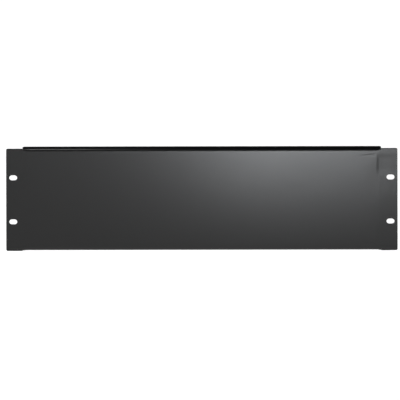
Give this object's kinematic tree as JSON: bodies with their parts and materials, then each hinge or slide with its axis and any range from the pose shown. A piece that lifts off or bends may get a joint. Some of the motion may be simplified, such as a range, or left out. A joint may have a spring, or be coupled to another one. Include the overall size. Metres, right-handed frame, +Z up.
{
  "type": "rack blanking panel",
  "caption": "Flanged steel blanking panel that closes an unused space in an equipment rack, with flat ears slotted for rack screws.",
  "frame": {"origin": "centre of the rectangle of slots, on the back face of the ears, which seats on the rack's rails; the front face is 1.5 mm in front of it", "axes": "+X along the panel's width, +Y into the rack, away from the front face, +Z up"},
  "size_m": [0.4826, 0.01, 0.1326],
  "materials": {
    "black_powder_coat": "satin powder coat"
  },
  "bodies": {
    "root": {"blanking_panel": "black_powder_coat"}
  },
  "joints": []
}
